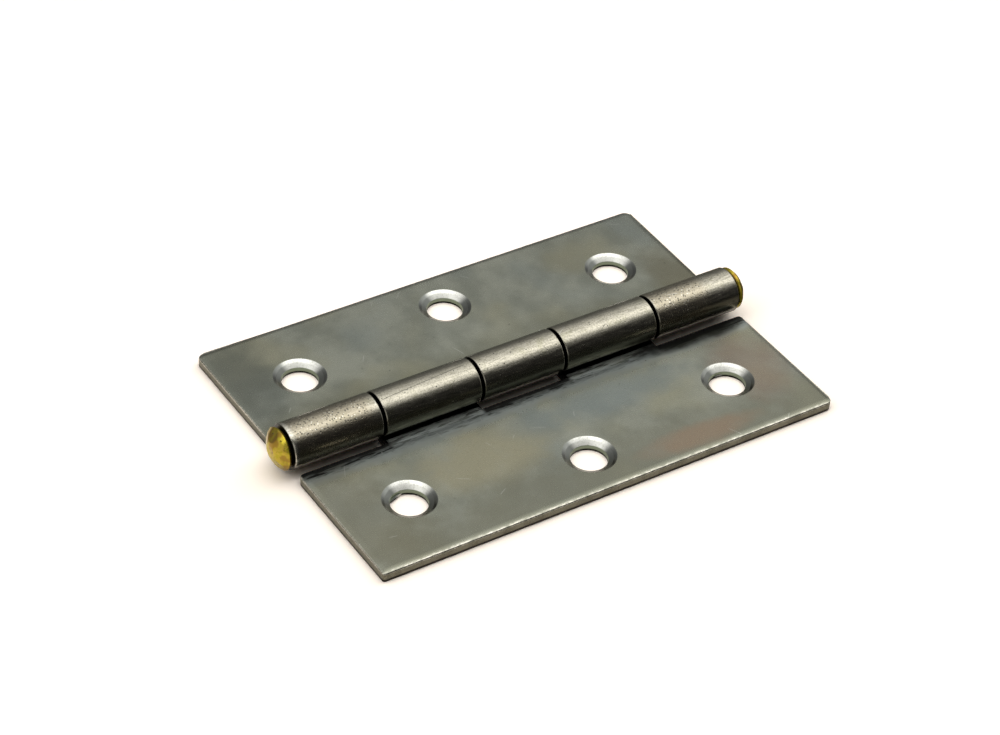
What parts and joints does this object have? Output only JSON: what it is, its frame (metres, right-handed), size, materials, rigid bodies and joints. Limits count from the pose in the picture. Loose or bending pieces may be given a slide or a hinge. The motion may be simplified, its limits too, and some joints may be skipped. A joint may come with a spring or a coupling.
{
  "type": "narrow butt hinge",
  "caption": "Open butt hinge of rolled sheet steel: flat leaves with staggered countersunk screw holes, interleaved knuckles and a brass pin with peened domed ends.",
  "frame": {"origin": "under the middle of the pin, in the plane of the leaves' back faces", "axes": "+X along the pin, +Y across the leaves towards the three-knuckle leaf, +Z out of the countersunk faces"},
  "size_m": [0.074, 0.0488, 0.007],
  "materials": {
    "back_leaf_steel": "bare passivated steel, semi-gloss",
    "front_leaf_steel": "bare passivated steel, semi-gloss, with faint tan staining",
    "pin_brass": "hammered brass"
  },
  "bodies": {
    "back_leaf": {"three_knuckle_leaf": "back_leaf_steel", "hinge_pin": "pin_brass"},
    "front_leaf": {"two_knuckle_leaf": "front_leaf_steel"}
  },
  "joints": [
    {"name": "pin_turn", "type": "hinge", "parent": "back_leaf", "child": "front_leaf", "pos_m": [0, 0, 0.00383], "axis": [-1, 0, 0], "range_deg": [-74, 190]}
  ]
}
